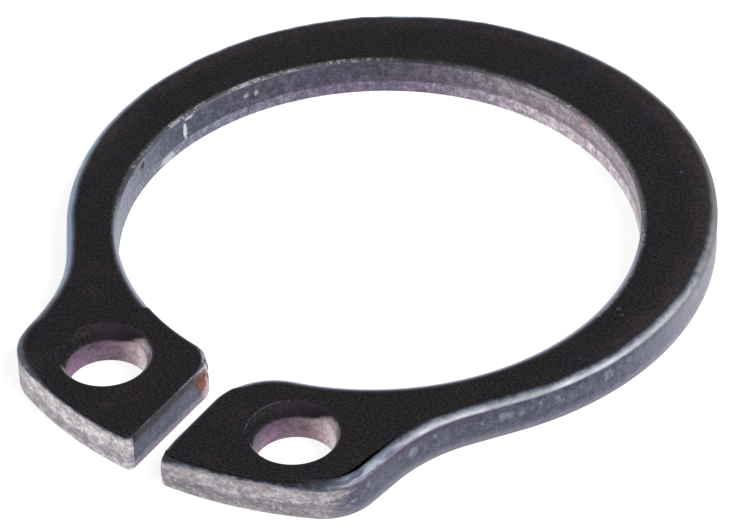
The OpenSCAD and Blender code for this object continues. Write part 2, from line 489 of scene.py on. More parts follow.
def build_ring_mesh(sizes):
    """Fills the outline, raises it to the strip's thickness and rounds its edges."""
    bm = bmesh.new()
    plan = draw_outline(bm, sizes)
    outline = KDTree(len(bm.verts))
    for index, vert in enumerate(bm.verts):
        outline.insert(vert.co, index)
    outline.balance()
    bmesh.ops.triangle_fill(bm, edges=bm.edges[:], use_beauty=True, normal=UP)
    raised = bmesh.ops.extrude_face_region(bm, geom=bm.faces[:], use_keep_orig=True)
    top = [part for part in raised["geom"] if isinstance(part, bmesh.types.BMVert)]
    bmesh.ops.translate(bm, vec=(0, 0, THICKNESS), verts=top)
    bmesh.ops.recalc_face_normals(bm, faces=bm.faces[:])
    for level in (THICKNESS, 0):
        flat = [f for f in bm.faces if abs(f.normal.z) > 0.5 and abs(f.calc_center_median().z - level) < TOUCH]
        bmesh.ops.inset_region(bm, faces=flat, thickness=sizes.margin, use_even_offset=True, use_boundary=True)
        corners = list(dict.fromkeys(vert for face in flat for vert in face.verts))
        unfold_margin(bm, corners, plan, sizes.margin)
    bm.normal_update()
    mouths = rim_edges(bm, THICKNESS, lambda point: near_hole(point, TOUCH))
    shape_mouths(round_edges(bm, mouths, sizes.mouth_width, EDGE_SEGMENTS), sizes)
    around = rim_edges(bm, THICKNESS, lambda point: not near_hole(point, sizes.mouth_width + TOUCH))
    shape_edges(round_edges(bm, around, sizes.break_width, EDGE_SEGMENTS), plan, sizes, outline)
    round_edges(bm, rim_edges(bm, 0, lambda point: True), sizes.under_width, UNDER_SEGMENTS)
    lowest = 1 - MOUTH_DEPTH / THICKNESS
    for row in range(1, sizes.wall_rows):
        level = THICKNESS * lowest * row / sizes.wall_rows
        bmesh.ops.bisect_plane(bm, geom=bm.verts[:] + bm.edges[:] + bm.faces[:], dist=TOUCH / 10,
                               plane_co=(0, 0, level), plane_no=UP)
    shape_corners(bm, plan, sizes)
    flare_tip(bm, plan, sizes)
    # The operators list the same faces in another order in each run
    bm.verts.index_update()
    bm.faces.sort(key=lambda face: face.verts[0].index * len(bm.verts) + face.verts[1].index)
    bm.normal_update()
    return bm, plan


class Shade:
    """Adds nodes to a tree. Each input is a socket, which is linked, or a plain value, which is set."""

    def __init__(self, tree):
        self.tree = tree

    def feed(self, node, inputs):
        for key, value in inputs.items():
            if isinstance(value, bpy.types.NodeSocket):
                self.tree.links.new(value, node.inputs[key])
            else:
                node.inputs[key].default_value = value

    def add(self, kind, inputs, **settings):
        node = self.tree.nodes.new(kind)
        for name, value in settings.items():
            setattr(node, name, value)
        self.feed(node, inputs)
        return node

    def math(self, operation, first, second=0.0):
        return self.add("ShaderNodeMath", {0: first, 1: second}, operation=operation).outputs[0]

    def plus(self, first, second):
        return self.math("ADD", first, second)

    def minus(self, first, second):
        return self.math("SUBTRACT", first, second)

    def times(self, first, second):
        return self.math("MULTIPLY", first, second)

    def highest(self, first, second):
        return self.math("MAXIMUM", first, second)

    def apart(self, first, second):
        """How far two values lie apart."""
        return self.math("ABSOLUTE", self.minus(first, second))

    def ease(self, value, low, high, start=0.0, end=1.0):
        """Rises smoothly from start to end as the value goes from low to high."""
        inputs = {"Value": value, "From Min": low, "From Max": high, "To Min": start, "To Max": end}
        return self.add("ShaderNodeMapRange", inputs, interpolation_type="SMOOTHSTEP").outputs[0]

    def mix(self, share, first, second):
        """Blends two colours."""
        inputs = {0: share, 6: rgba(first), 7: rgba(second)}
        return self.add("ShaderNodeMix", inputs, data_type="RGBA").outputs[2]

    def brighten(self, colour, factor):
        inputs = {0: 1.0, 6: rgba(colour), 7: factor}
        return self.add("ShaderNodeMix", inputs, data_type="RGBA", blend_type="MULTIPLY").outputs[2]

    def noise(self, vector, scale, detail=3.0, roughness=0.55):
        inputs = {"Vector": vector, "Scale": scale, "Detail": detail, "Roughness": roughness}
        return self.add("ShaderNodeTexNoise", inputs).outputs["Fac"]

    def vector_math(self, operation, first, second=(0, 0, 0)):
        return self.add("ShaderNodeVectorMath", {0: first, 1: second}, operation=operation).outputs

    def stretch(self, vector, x, y, z):
        return self.vector_math("MULTIPLY", vector, (x, y, z))[0]

    def shift(self, vector, by):
        return self.vector_math("ADD", vector, by)[0]

    def length(self, vector):
        return self.vector_math("LENGTH", vector)["Value"]

    def parts(self, vector):
        return self.add("ShaderNodeSeparateXYZ", {0: vector}).outputs

    def millimetres(self):
        """Object coordinates in millimetres."""
        where = self.add("ShaderNodeTexCoord", {}).outputs["Object"]
        return self.add("ShaderNodeVectorMath", {0: where, "Scale": 1 / MM}, operation="SCALE").outputs[0]

    def group(self, name, inputs):
        """Places a node group and gives its outputs."""
        return self.add("ShaderNodeGroup", inputs, node_tree=GROUPS[name]()).outputs

    def grain(self, vector):
        return self.group("Steel Grain", {"Vector": vector, "Scale": GRAIN_SCALE})

    def marks(self, vector, scale):
        return self.group("Shear Streaks", {"Vector": vector, "Scale": scale})

    def spot(self, vector, centre, reach, ragged=0.4, scale=12.0):
        inputs = {"Vector": vector, "Centre": centre, "Reach": reach, "Ragged": ragged, "Scale": scale}
        return self.group("Spot", inputs)["Mask"]


def rgba(colour):
    return colour if isinstance(colour, bpy.types.NodeSocket) else (*colour[:3], 1)


def new_group(name, inputs, outputs):
    """An empty node group with named sockets: its Shade, its input sockets and a function that sets an output."""
    tree = bpy.data.node_groups.new(name, "ShaderNodeTree")
    kinds = {"value": "NodeSocketFloat", "vector": "NodeSocketVector", "colour": "NodeSocketColor"}
    for label, (kind, default) in inputs.items():
        socket = tree.interface.new_socket(name=label, in_out="INPUT", socket_type=kinds[kind])
        socket.default_value = default
    for label, kind in outputs.items():
        tree.interface.new_socket(name=label, in_out="OUTPUT", socket_type=kinds[kind])
    entry = tree.nodes.new("NodeGroupInput")
    exit_node = tree.nodes.new("NodeGroupOutput")

    def give(label, socket):
        tree.links.new(socket, exit_node.inputs[label])

    return Shade(tree), entry.outputs, give


def once(name):
    """Makes a builder of a node group run only once."""
    def wrap(builder):
        def build():
            return bpy.data.node_groups.get(name) or builder(name)
        return build
    return wrap


@once("Steel Grain")
def steel_grain(name):
    """Fine grain and slow clouding, as shares from 0 to 1, and a height for bump."""
    shade, given, give = new_group(
        name, {"Vector": ("vector", (0, 0, 0)), "Scale": ("value", 20.0)},
        {"Grain": "value", "Cloud": "value", "Height": "value"})
    fine = shade.noise(given["Vector"], given["Scale"], 2.0)
    cloud = shade.noise(given["Vector"], shade.times(given["Scale"], 0.06), 3.0)
    give("Grain", shade.ease(fine, 0.3, 0.7))
    give("Cloud", shade.ease(cloud, 0.35, 0.65))
    give("Height", fine)
    return shade.tree


@once("Sheared Bands")
def sheared_bands(name):
    """Where a sheared wall is torn, below a ragged line."""
    shade, given, give = new_group(
        name, {"Vector": ("vector", (0, 0, 0)), "Line": ("value", 0.5), "Ragged": ("value", 0.1)},
        {"Torn": "value"})
    wander = shade.noise(shade.stretch(given["Vector"], 1.6, 1.6, 0.2), 1.0, 5.0, 0.6)
    wander = shade.times(shade.minus(wander, 0.5), given["Ragged"])
    above = shade.minus(shade.parts(given["Vector"])["Z"], shade.plus(given["Line"], wander))
    give("Torn", shade.ease(above, 0.03, -0.03))
    return shade.tree


@once("Shear Streaks")
def shear_streaks(name):
    """Streaks that run along a wall, strokes that run up it, and blotches."""
    shade, given, give = new_group(
        name, {"Vector": ("vector", (0, 0, 0)), "Scale": ("value", 1.0)},
        {"Streaks": "value", "Strokes": "value", "Blotches": "value"})
    vector = given["Vector"]
    streaks = shade.noise(shade.stretch(vector, 1, 1, 7), shade.times(given["Scale"], 1.6), 4.0, 0.6)
    strokes = shade.noise(shade.stretch(vector, 1, 1, 0.25), shade.times(given["Scale"], 6.0), 4.0, 0.65)
    blotches = shade.noise(shade.stretch(vector, 1, 1, 1.4), shade.times(given["Scale"], 4.5), 5.0, 0.65)
    give("Streaks", shade.ease(streaks, 0.36, 0.64))
    give("Strokes", shade.ease(strokes, 0.36, 0.64))
    give("Blotches", shade.ease(blotches, 0.38, 0.62))
    return shade.tree


@once("Spot")
def spot(name):
    """A spot with a ragged outline."""
    shade, given, give = new_group(
        name, {"Vector": ("vector", (0, 0, 0)), "Centre": ("vector", (0, 0, 0)),
               "Reach": ("vector", (1, 1, 1)), "Ragged": ("value", 0.4), "Scale": ("value", 12.0)},
        {"Mask": "value"})
    away = shade.vector_math("SUBTRACT", given["Vector"], given["Centre"])[0]
    far = shade.length(shade.vector_math("DIVIDE", away, given["Reach"])[0])
    rough = shade.minus(shade.noise(given["Vector"], given["Scale"], 3.0), 0.5)
    far = shade.plus(far, shade.times(rough, given["Ragged"]))
    give("Mask", shade.ease(far, 1.0, 0.55))
    return shade.tree


@once("Broken Line")
def broken_line(name):
    """Breaks a line, of wear or of painted highlight, into stretches and dots."""
    shade, given, give = new_group(
        name, {"Vector": ("vector", (0, 0, 0)), "Coverage": ("value", 0.5)}, {"Mask": "value"})
    long = shade.noise(given["Vector"], 1.3, 3.0)
    short = shade.noise(given["Vector"], 9.0, 3.0, 0.7)
    level = shade.plus(shade.times(long, 0.5), shade.times(short, 0.5))
    level = shade.plus(level, shade.times(shade.minus(given["Coverage"], 0.5), 0.5))
    give("Mask", shade.ease(level, 0.46, 0.58))
    return shade.tree


GROUPS = {"Steel Grain": steel_grain, "Sheared Bands": sheared_bands, "Shear Streaks": shear_streaks,
          "Spot": spot, "Broken Line": broken_line}


def start_material(name):
    """A material with nodes, its Shade, object coordinates in millimetres and its shader."""
    material = bpy.data.materials.new(name)
    material.use_nodes = True
    shade = Shade(material.node_tree)
    return material, shade, shade.millimetres(), material.node_tree.nodes["Principled BSDF"]


def finish_material(shade, shader, colour, roughness, height, bump, metallic, specular=0.5):
    """Feeds the shader, with a bump of the given distance in metres."""
    relief = shade.add("ShaderNodeBump", {"Height": height, "Strength": 1.0, "Distance": bump})
    shade.feed(shader, {"Base Color": colour, "Roughness": roughness, "Metallic": metallic,
                        "Specular IOR Level": specular, "Normal": relief.outputs["Normal"]})


def arc_mask(shade, vector, centre, from_angle, to_angle, fade):
    """One between two angles about a centre, given in degrees and counted from the direction between them."""
    middle = radians((from_angle + to_angle) / 2)
    half = radians((to_angle - from_angle) / 2)
    x, y, _ = shade.parts(shade.shift(shade.add(
        "ShaderNodeVectorRotate", {"Vector": vector, "Center": (*centre, 0), "Angle": -middle},
        rotation_type="Z_AXIS").outputs[0], (-centre[0], -centre[1], 0)))
    angle = shade.math("ABSOLUTE", shade.math("ARCTAN2", y, x))
    return shade.ease(angle, half + radians(fade), half - radians(fade))


def tint(colour, red, green=None, blue=None):
    """A colour with its channels multiplied."""
    factors = (red, red if green is None else green, red if blue is None else blue)
    return tuple(channel * factor for channel, factor in zip(colour, factors))


def coat_colour(shade, vector, finish):
    """Dark coat with grain and slow clouds: its colour, its roughness and its height."""
    grain = shade.grain(vector)
    colour = shade.mix(grain["Grain"], tint(finish.coat, 0.2), tint(finish.coat, 2.3))
    warm = shade.mix(grain["Grain"], tint(finish.coat, 0.5, 0.4, 0.3), tint(finish.coat, 3.4, 2.6, 2.3))
    colour = shade.mix(shade.times(grain["Cloud"], 0.6), colour, warm)
    return colour, shade.ease(grain["Grain"], 0, 1, 0.48, 0.66), grain["Height"]


def distance_from(shade, vector, centre):
    """How far a place lies from an upright axis."""
    return shade.length(shade.stretch(shade.shift(vector, (-centre[0], -centre[1], 0)), 1, 1, 0))


def towards_pale(shade, x, y):
    """How far a place lies towards the side where the walls are painted paler, partly for their tone and partly as
    painted light.
    """
    return shade.plus(shade.times(x, PALE_SIDE.x), shade.times(y, PALE_SIDE.y))


def face_material(finish):
    """Flat faces: dark coat, lighter towards the rim, with specks and a painted highlight along the crease on one
    side of each plier hole.
    """
    material, shade, vector, shader = start_material("coated_face")
    colour, roughness, height = coat_colour(shade, vector, finish)
    far = distance_from(shade, vector, RIM_C / MM)
    front = shade.ease(shade.parts(vector)["Y"], -3.0, 0.0)
    rim = shade.times(shade.ease(far, RIM_R / MM - 0.9, RIM_R / MM - 0.1), front)
    marks = shade.marks(vector, 0.9)
    rim = shade.times(rim, shade.ease(marks["Blotches"], 0, 1, 0.07, 0.17))
    colour = shade.mix(rim, colour, tint(finish.wall_plum, 0.95, 0.95, 0.75))
    scuffs = shade.times(shade.ease(shade.noise(vector, 0.7, 2.0), 0.5, 0.7), marks["Blotches"])
    colour = shade.mix(shade.times(scuffs, 0.04), colour, finish.wall_plum)
    specks = ((5.5, 5.36, 0.07, 0.3), (6.85, -0.05, 0.07, 0.3), (7.03, -0.2, 0.05, 0.3),
              (-1.61, -9.3, 0.18, 0.05), (6.33, 3.1, 0.09, 0.06), (-4.4, -6.1, 0.3, 0.03))
    for x, y, reach, strength in specks:
        mask = shade.spot(vector, (x, y, 1), (reach, reach, 1), 1.2)
        colour = shade.mix(shade.times(mask, strength), colour, finish.wall_plum)
    # Painted highlight: a broken light line along the crease of each hole's mouth, on one side of the hole
    crease_highlights = ((1, 112, 206, 1.14, 0.5), (-1, 122, 208, 1.165, 0.32))
    for side, from_angle, to_angle, radius, strength in crease_highlights:
        centre = (side * HOLE_C.x / MM, HOLE_C.y / MM)
        sector = arc_mask(shade, vector, centre, from_angle, to_angle, 14)
        far = distance_from(shade, vector, centre)
        band = shade.ease(shade.apart(far, radius), 0.05, 0.0)
        broken = shade.group("Broken Line", {"Vector": vector, "Coverage": 0.55})["Mask"]
        mask = shade.times(shade.times(band, sector), broken)
        colour = shade.mix(shade.times(mask, strength), colour, finish.wall_plum)
    finish_material(shade, shader, colour, roughness, height, 0.004 * MM, 0.0, COAT_GLOSS)
    return material


def wall_bands(shade, vector, high, low, line, ragged, strength, upright):
    """Colour of a sheared wall: a smooth band over a torn one, with streaks or strokes, and blotches."""
    torn = shade.group("Sheared Bands", {"Vector": vector, "Line": line, "Ragged": ragged})["Torn"]
    marks = shade.marks(vector, 1.0)
    grain = shade.grain(vector)
    colour = shade.mix(torn, high, low)
    lines = marks["Strokes" if upright else "Streaks"]
    factor = shade.ease(lines, 0, 1, 1 - strength * 0.4, 1 + strength * 0.4)
    factor = shade.times(factor, shade.ease(marks["Blotches"], 0, 1, 1 - strength, 1 + strength))
    factor = shade.times(factor, shade.ease(grain["Grain"], 0, 1, 0.8, 1.2))
    colour = shade.brighten(colour, factor)
    height = shade.plus(shade.times(lines, 0.3), shade.plus(grain["Height"], marks["Blotches"]))
    return colour, height, marks


def outer_wall_colour(shade, vector, finish):
    """Slate on the rim and the necks, pale and streaky on the ends of the lugs, where the paleness is partly the bare
    steel's own tone and partly painted light.
    """
    x, y, z = shade.parts(vector)
    slate = finish.wall_blue
    colour, height, marks = wall_bands(shade, vector, tint(slate, 0.78, 0.76, 0.78), tint(slate, 0.86),
                                       0.74, 0.25, 0.24, True)
    plum = shade.times(shade.ease(z, 0.5, 0.75), shade.ease(x, 6.8, 5.6))
    colour = shade.mix(shade.times(plum, shade.ease(marks["Blotches"], 0, 1, 0.15, 0.75)), colour,
                       tint(finish.wall_plum, 0.62, 0.55, 0.6))
    dots = shade.ease(shade.noise(shade.stretch(vector, 1, 1, 0.6), 4.5, 1.0), 0.56, 0.72)
    middle = shade.ease(shade.apart(z, 0.62), 0.2, 0.06)
    colour = shade.mix(shade.times(shade.times(dots, middle), 0.3), colour,
                       tint(finish.worn, 0.7, 0.75, 0.85))
    turned = shade.minus(y, shade.times(x, 0.15))
    side = shade.ease(turned, -3.2, 0.6)
    colour = shade.mix(shade.times(side, 0.42), colour, tint(finish.wall_pale, 0.86, 0.9, 1.0))
    foot = shade.plus(z, shade.times(marks["Blotches"], 0.08))
    colour = shade.mix(shade.ease(foot, 0.34, 0.08, 0.0, 0.4), colour, tint(finish.wall_pale, 0.95, 0.92, 1.0))
    pale = tint(finish.wall_pale, 1.45)
    bare, bare_height, bare_marks = wall_bands(shade, vector, pale, tint(pale, 0.74), 0.42, 0.3, 0.26, False)
    bare = shade.brighten(bare, shade.ease(z, 0.2, 0.05, 1.0, 1.3))
    stains = shade.ease(shade.noise(vector, 3.2, 4.0, 0.6), 0.44, 0.6)
    stain = shade.mix(shade.ease(z, 0.4, 0.6), tint(pale, 0.44, 0.38, 0.42), tint(pale, 0.52, 0.43, 0.34))
    bare = shade.mix(shade.times(stains, 0.45), bare, stain)
    shiny = shade.ease(shade.apart(z, 0.66), 0.14, 0.02)
    shiny = shade.times(shiny, shade.ease(shade.noise(vector, 3.0, 3.0), 0.5, 0.62))
    bare = shade.mix(shade.times(shiny, 0.4), bare, tint(pale, 1.5, 1.45, 1.4))
    bare = shade.brighten(bare, shade.ease(x, -0.3, 0.3, 1.0, 0.66))
    upper = shade.times(shade.ease(x, -3.6, -4.6), shade.ease(z, 0.42, 0.78))
    bare = shade.mix(shade.times(upper, 0.65), bare, tint(pale, 0.3, 0.32, 0.36))
    top = shade.plus(z, shade.times(bare_marks["Blotches"], 0.08))
    top = shade.plus(top, shade.ease(x, -0.3, 0.3, 0.0, 0.03))
    corner = distance_from(shade, vector, (0.45, -9.97))
    at_corner = shade.times(shade.ease(corner, 1.1, 0.1, 0.0, 0.15), shade.ease(x, 0.0, 0.2))
    top = shade.plus(top, at_corner)
    dark = shade.mix(shade.ease(x, -0.3, 0.3), tint(pale, 0.2), tint(finish.wall_blue, 0.3, 0.27, 0.22))
    bare = shade.mix(shade.ease(top, 0.9, 0.98), bare, tint(finish.wall_blue, 1.25))
    bare = shade.mix(shade.ease(top, 0.96, 1.04), bare, dark)
    drift = shade.times(shade.minus(marks["Streaks"], 0.5), 0.6)
    # The lug ends take the pale colour: partly the bare steel's own tone, partly painted light
    tip = shade.ease(shade.plus(y, drift), -8.3, -9.1)
    colour = shade.mix(tip, colour, bare)
    height = shade.add("ShaderNodeMix", {0: tip, 2: height, 3: bare_height}, data_type="FLOAT").outputs[0]
    return colour, height, marks


def outer_wall_material(finish):
    """Outer wall below the rolled edge."""
    material, shade, vector, shader = start_material("outer_wall")
    colour, height, marks = outer_wall_colour(shade, vector, finish)
    finish_material(shade, shader, colour, shade.ease(marks["Blotches"], 0, 1, 0.36, 0.5), height,
                    0.007 * MM, 0.75)
    return material


def roll_material(finish):
    """Rolled upper edge: bare steel with a painted highlight along the near side, dark elsewhere."""
    material, shade, vector, shader = start_material("rolled_edge")
    coat, _, coat_height = coat_colour(shade, vector, finish)
    wall, _, marks = outer_wall_colour(shade, vector, finish)
    x, y, level = shade.parts(vector)
    # The near stretch of the rim, where the rolled edge is painted as a bright band: partly bare worn steel, partly a
    # painted highlight
    side = arc_mask(shade, vector, (0, 0), -66, 26, 12)
    blue = shade.brighten(tint(finish.wall_blue, 1.0, 1.2, 1.3), shade.ease(marks["Blotches"], 0, 1, 0.6, 1.3))
    drawn = shade.plus(shade.times(marks["Blotches"], 0.4),
                       shade.times(shade.ease(shade.noise(vector, 1.1, 2.0), 0.4, 0.6), 0.6))
    # Painted highlight over bare steel, made uneven along the edge
    worn = shade.brighten(finish.worn, shade.ease(drawn, 0, 1, 0.42, 0.66))
    streaks = shade.ease(shade.noise(shade.stretch(vector, 1, 1, 16), 1.2, 4.0, 0.6), 0.42, 0.6)
    # On the right lug's shoulder the painted highlight breaks into streaks of bare steel and slate
    shoulder = shade.spot(vector, (4.8, -8.0, 0.9), (1.9, 1.5, 3))
    streaked_wear_and_highlight = shade.mix(streaks, tint(finish.wall_blue, 0.8, 0.9, 1.1), tint(finish.worn, 0.72, 0.78, 0.86))
    worn = shade.mix(shade.times(shoulder, 0.9), worn, streaked_wear_and_highlight)
    # Down the near stretch: coat, a bluish fringe, the band of painted highlight on bare steel, then the wall
    near = shade.mix(shade.ease(level, 1.0, 0.98), coat, blue)
    near = shade.mix(shade.ease(level, 0.995, 0.955), near, worn)
    near = shade.mix(shade.ease(level, 0.94, 0.87), near, wall)
    right = shade.ease(x, -1.0, 4.0)
    far = shade.mix(right, tint(finish.worn, 0.75, 0.88, 1.05), tint(finish.worn, 0.42, 0.38, 0.35))
    far = shade.brighten(far, shade.ease(y, -7.4, -6.0, 0.5, 1.0))
    dark = shade.mix(shade.ease(level, 1.0, 0.95), coat, far)
    tips = shade.ease(y, -8.4, -9.2)
    dark = shade.mix(tips, dark, shade.mix(shade.ease(level, 0.99, 0.93), coat, wall))
    colour = shade.mix(shade.times(side, shade.minus(1.0, tips)), dark, near)
    finish_material(shade, shader, colour, shade.ease(marks["Blotches"], 0, 1, 0.4, 0.55),
                    coat_height, 0.0015 * MM, shade.ease(level, 1.0, 0.98, 0.0, 0.6), 0.3)
    return material


def bore_wall_material(finish):
    """Bore: slate to the left, warm and pale to the right, partly the steel's own tone and partly painted light, with
    a lighter torn band along the bottom.
    """
    material, shade, vector, shader = start_material("bore_wall")
    x, y, z = shade.parts(vector)
    along = towards_pale(shade, x, y)
    slate, plum, pale = finish.wall_blue, finish.wall_plum, finish.wall_pale
    # Paler towards one side: partly the steel's own tone, partly painted light on the walls that face the other way
    high = shade.mix(shade.ease(along, -5.4, -2.0), tint(slate, 0.76), tint(plum, 0.55, 0.64, 0.61))
    high = shade.mix(shade.ease(along, 0.2, 6.4), high, tint(pale, 0.95, 0.88, 0.92))
    high = shade.mix(shade.ease(along, -5.0, -6.4, 0.0, 0.35), high, tint(pale, 0.8, 0.9, 1.1))
    low = shade.mix(shade.ease(along, -4.4, -0.8), tint(slate, 1.9, 1.75, 1.6), tint(plum, 1.15, 1.25, 1.2))
    low = shade.mix(shade.ease(along, 0.2, 6.4), low, tint(pale, 1.6, 1.5, 1.55))
    line = shade.ease(along, -6.0, 6.0, 0.29, 0.37)
    colour, height, marks = wall_bands(shade, vector, high, low, line, 0.07, 0.28, True)
    dark = shade.ease(shade.apart(z, 0.46), 0.12, 0.0, 0.0, 0.4)
    colour = shade.mix(shade.times(dark, shade.ease(along, -1.0, 3.0)), colour, tint(plum, 0.8))
    top = shade.times(shade.ease(z, 0.84, 0.96, 0.0, 0.4), shade.ease(along, 5.0, 1.0))
    colour = shade.mix(top, colour, tint(plum, 0.6))
    places = (((-6.395, 0.83, 0.56), (0.14, 0.085, 0.3), finish.worn, 1.0),
              ((-6.37, 1.0, 0.9), (0.12, 0.22, 0.06), finish.worn, 0.8),
              ((-6.45, 0.1, 0.13), (0.14, 0.34, 0.15), finish.worn, 0.7),
              ((-6.36, -1.09, 0.73), (0.14, 0.15, 0.13), finish.coat, 1.0),
              ((-6.24, -1.66, 0.9), (0.1, 0.1, 0.08), finish.coat, 0.7),
              ((-5.83, 2.76, 0.66), (0.09, 0.09, 0.09), finish.worn, 0.45),
              ((-5.69, 3.02, 0.64), (0.09, 0.09, 0.11), finish.worn, 0.45),
              ((2.35, 6.01, 0.88), (0.16, 0.16, 0.08), finish.rust, 0.6),
              ((4.07, 5.0, 0.8), (0.1, 0.1, 0.12), finish.rust, 0.6),
              ((0.72, 6.41, 0.86), (0.3, 0.2, 0.08), finish.worn, 0.25))
    for centre, reach, mark, strength in places:
        mask = shade.spot(vector, centre, reach, 1.1)
        colour = shade.mix(shade.times(mask, strength), colour, mark)
    specks = shade.ease(shade.noise(vector, 11.0, 2.0), 0.7, 0.74)
    specks = shade.times(specks, shade.ease(along, 0.0, 4.0, 0.0, 0.5))
    colour = shade.mix(specks, colour, tint(finish.rust, 0.6))
    finish_material(shade, shader, colour, shade.ease(marks["Blotches"], 0, 1, 0.36, 0.5), height,
                    0.006 * MM, 0.75)
    return material


def gap_wall_material(finish):
    """Faces of the gap: slate, dark along the top, lavender along the bottom, with rust in the left corner."""
    material, shade, vector, shader = start_material("gap_wall")
    x, y, z = shade.parts(vector)
    colour, height, marks = wall_bands(
        shade, vector, tint(finish.wall_blue, 0.95, 0.97, 1.0), tint(finish.wall_blue, 0.85), 0.38, 0.15, 0.14, True)
    wander = shade.times(shade.minus(marks["Blotches"], 0.5), 0.1)
    level = shade.plus(z, wander)
    colour = shade.mix(shade.ease(level, 0.64, 0.84, 0.0, 0.95), colour, tint(finish.wall_plum, 0.2, 0.17, 0.16))
    colour = shade.mix(shade.ease(level, 0.27, 0.16), colour, tint(finish.wall_plum, 1.75, 1.9, 1.75))
    corner = shade.ease(shade.plus(y, shade.times(z, 0.3)), -7.1, -6.82)
    corner = shade.times(corner, shade.ease(marks["Blotches"], 0, 1, 0.6, 1.0))
    colour = shade.mix(corner, colour, tint(finish.wall_pale, 1.35, 1.1, 1.15))
    left = shade.ease(x, 0.0, -0.2)
    share = shade.times(left, 0.85)
    around = shade.times(shade.spot(vector, (-0.45, -7.1, 0.68), (0.4, 0.36, 0.3), 1.4, 4.0), share)
    colour = shade.mix(around, colour, tint(finish.rust, 0.12, 0.16, 0.22))
    rust = shade.times(shade.spot(vector, (-0.48, -7.02, 0.56), (0.4, 0.26, 0.34), 0.9, 5.0), share)
    rusty = shade.mix(marks["Blotches"], tint(finish.rust, 0.75, 0.6, 0.6), tint(finish.rust, 1.15, 1.2, 1.4))
    colour = shade.mix(rust, colour, rusty)
    finish_material(shade, shader, colour, shade.ease(rust, 0, 1, 0.4, 0.75), height, 0.006 * MM, 0.6)
    return material


def inner_edge_material(finish):
    """Broken upper edge of the bore and the gap, worn to bare steel on the near side and in places elsewhere."""
    material, shade, vector, shader = start_material("inner_edge")
    coat, _, height = coat_colour(shade, vector, finish)
    x, y, z = shade.parts(vector)
    along = towards_pale(shade, x, y)
    lugs = shade.ease(y, -6.3, -6.6)
    left = shade.times(lugs, shade.ease(x, 0.0, -0.2))
    near = shade.times(arc_mask(shade, vector, (0, 0), -150, 22, 12), shade.minus(1.0, left))
    corner = shade.times(left, shade.ease(y, -7.9, -7.0, 0.2, 1.0))
    broken = shade.group("Broken Line", {"Vector": vector, "Coverage": 0.45})["Mask"]
    line = shade.ease(arc_mask(shade, vector, (0, 0), 125, 185, 15), 0, 1, 0.1, 0.75)
    line = shade.highest(line, shade.ease(along, -5.3, -6.2, 0.0, 0.4))
    line = shade.highest(line, shade.ease(along, 2.0, 5.5, 0.0, 0.6))
    line = shade.times(line, shade.ease(z, 0.945, 0.97))
    worn = shade.times(shade.highest(line, corner), shade.ease(broken, 0, 1, 0.2, 1.0))
    worn = shade.highest(worn, shade.times(near, shade.ease(z, 0.999, 0.968)))
    # Paler towards one side, partly the steel's own tone and partly painted light, as on the walls
    low = shade.mix(shade.ease(along, 1.0, 5.5), tint(finish.wall_blue, 0.5), tint(finish.wall_pale, 0.6, 0.55, 0.57))
    base = shade.mix(shade.ease(z, 0.995, 0.95), coat, low)
    level = shade.ease(z, 1.0, 0.985)
    bare = shade.highest(near, corner)
    bright = shade.mix(bare, finish.worn, tint(finish.worn, 1.2, 1.3, 1.45))
    colour = shade.mix(shade.times(worn, level), base, bright)
    finish_material(shade, shader, colour, shade.ease(broken, 0, 1, 0.4, 0.34), height, 0.006 * MM,
                    shade.times(level, shade.ease(bare, 0, 1, 0.4, 0.95)), 0.3)
    return material


def hole_wall_material(finish):
    """Plier holes: plum walls, paler and warmer towards the right, partly in their own tone and partly as painted
    light, under a dark drawn-in mouth.
    """
    material, shade, vector, shader = start_material("hole_wall")
    x, y, z = shade.parts(vector)
    x = shade.minus(x, shade.times(shade.math("SIGN", x), HOLE_C.x / MM))
    y = shade.minus(y, HOLE_C.y / MM)
    across = towards_pale(shade, x, y)
    plum, pale = finish.wall_plum, finish.wall_pale
    colour = shade.mix(shade.ease(z, 0.6, 0.1), tint(plum, 0.95, 0.95, 0.8), tint(plum, 1.9, 1.8, 1.6))
    # Paler towards one side: partly the steel's own tone, partly painted light
    steps = ((-0.35, 0.35, (0.85, 0.68, 0.72)), (0.2, 0.6, (1.5, 1.28, 1.25)), (0.6, 0.9, (2.6, 2.4, 2.4)))
    for start, end, factors in steps:
        colour = shade.mix(shade.ease(across, start, end), colour, tint(pale, *factors))
    magenta = shade.ease(shade.noise(vector, 2.5, 3.0), 0.42, 0.62)
    colour = shade.mix(shade.times(magenta, shade.ease(across, 0.6, 0.0, 0.0, 0.4)), colour,
                       tint(plum, 1.35, 1.0, 1.3))
    marks = shade.marks(vector, 1.4)
    grain = shade.grain(vector)
    factor = shade.times(shade.ease(marks["Blotches"], 0, 1, 0.82, 1.14),
                         shade.ease(grain["Grain"], 0, 1, 0.88, 1.1))
    colour = shade.brighten(colour, factor)
    coat, _, _ = coat_colour(shade, vector, finish)
    rim = shade.ease(across, 0.3, 0.95, -0.05, 0.24)
    wander = shade.plus(shade.times(marks["Blotches"], 0.03), z)
    mouth = shade.ease(shade.minus(wander, rim), 0.63, 0.75)
    around = shade.add("ShaderNodeCombineXYZ", {0: x, 1: y}).outputs[0]
    near = arc_mask(shade, around, (0, 0), -122, 48, 14)
    fringe = shade.times(near, shade.ease(z, 0.985, 0.93))
    drawn = shade.mix(shade.ease(across, -0.6, 0.1, 0.0, 0.7), coat, tint(plum, 0.23, 0.24, 0.22))
    mouth_colour = shade.mix(fringe, drawn, finish.worn)
    colour = shade.mix(mouth, colour, mouth_colour)
    wall = shade.minus(1.0, mouth)
    bare = shade.times(shade.ease(across, 0.3, 0.9, 0.3, 0.55), wall)
    metallic = shade.highest(bare, fringe)
    finish_material(shade, shader, colour, shade.ease(metallic, 0, 1, 0.62, 0.36), grain["Height"], 0.003 * MM,
                    metallic, COAT_GLOSS)
    return material


